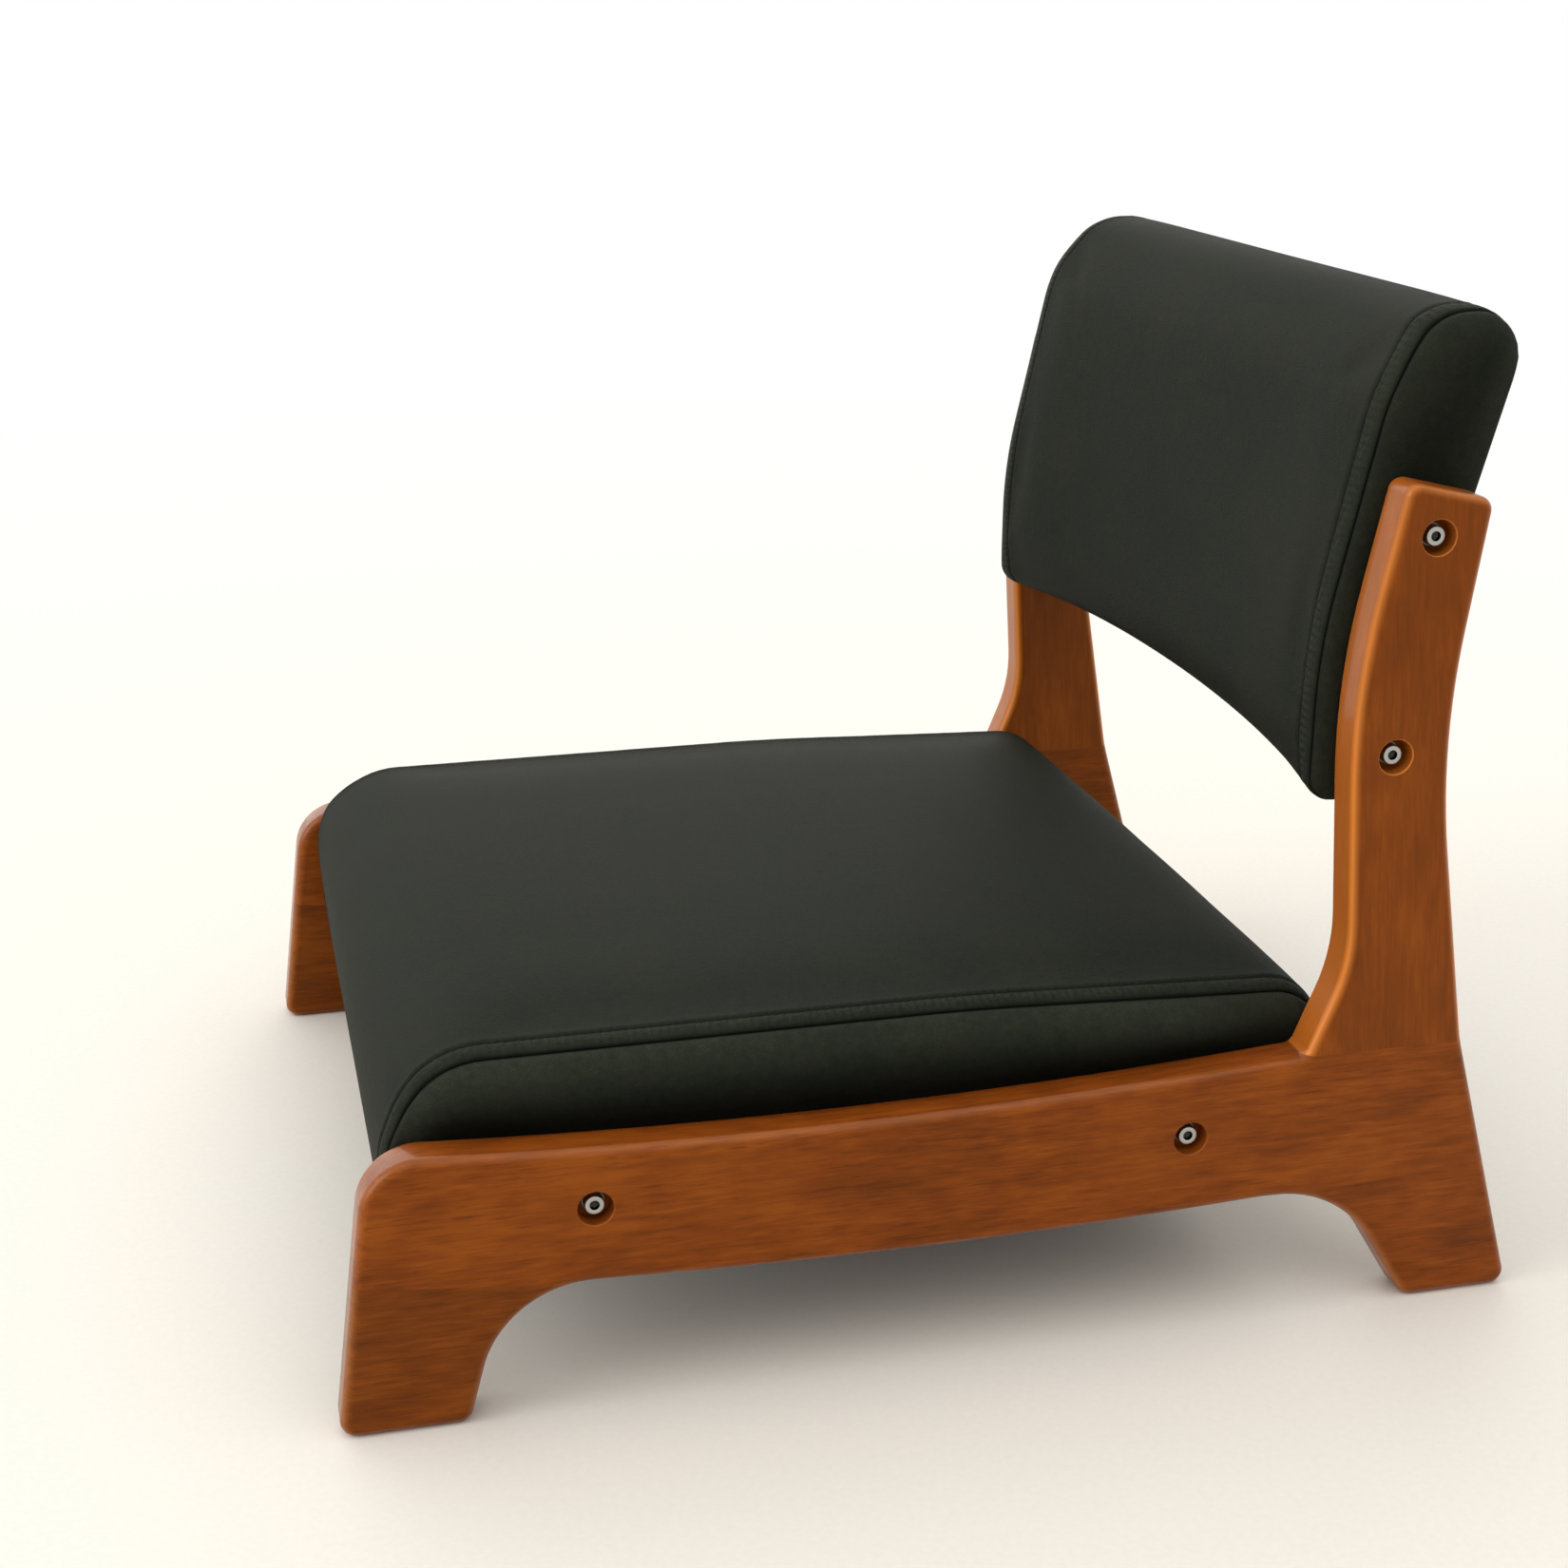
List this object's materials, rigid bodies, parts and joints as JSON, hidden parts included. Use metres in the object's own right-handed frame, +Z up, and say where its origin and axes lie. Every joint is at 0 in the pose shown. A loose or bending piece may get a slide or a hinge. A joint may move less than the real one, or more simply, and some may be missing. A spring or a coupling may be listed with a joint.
{
  "type": "meditation chair",
  "caption": "Low floor seat: two sculpted wooden side frames on short raked feet carry a boxed cushion and a curved padded back, joined by socket head bolts.",
  "frame": {"origin": "on the floor, in the middle of the chair's width and of its depth from toe to heel", "axes": "+Z up, the sitter faces -Y, +X is the sitter's left"},
  "size_m": [0.46, 0.5271, 0.4414],
  "materials": {
    "frame_wood": "satin clear lacquer over a reddish brown stained hardwood",
    "batten_wood": "planed, unfinished",
    "plywood": "sanded, unfinished",
    "foam": "open-cell foam",
    "cover": "matt fine-grained leatherette, very dark green grey",
    "felt": "thin non-woven cloth",
    "zinc_steel": "bright zinc plate"
  },
  "bodies": {
    "root": {"left_rail": "frame_wood", "right_rail": "frame_wood", "left_front_foot": "frame_wood", "right_front_foot": "frame_wood", "left_rear_foot": "frame_wood", "right_rear_foot": "frame_wood", "left_upright": "frame_wood", "right_upright": "frame_wood", "left_frame_dowels": "batten_wood", "right_frame_dowels": "batten_wood", "seat_frame_left": "batten_wood", "seat_frame_right": "batten_wood", "seat_frame_front": "batten_wood", "seat_frame_rear": "batten_wood", "seat_frame_middle": "batten_wood", "back_left_batten": "batten_wood", "back_right_batten": "batten_wood", "back_upper_rail": "batten_wood", "back_lower_rail": "batten_wood", "seat_panel": "plywood", "back_panel": "plywood", "seat_foam": "foam", "back_foam": "foam", "seat_cover_top": "cover", "seat_cover_left_side": "cover", "seat_cover_right_side": "cover", "back_cover_wrap": "cover", "back_cover_left_side": "cover", "back_cover_right_side": "cover", "seat_dust_cover": "felt", "seat_panel_screws": "zinc_steel", "seat_inserts": "zinc_steel", "back_inserts": "zinc_steel", "seat_bolts": "zinc_steel", "back_bolts": "zinc_steel", "bolt_washers": "zinc_steel"}
  },
  "joints": []
}
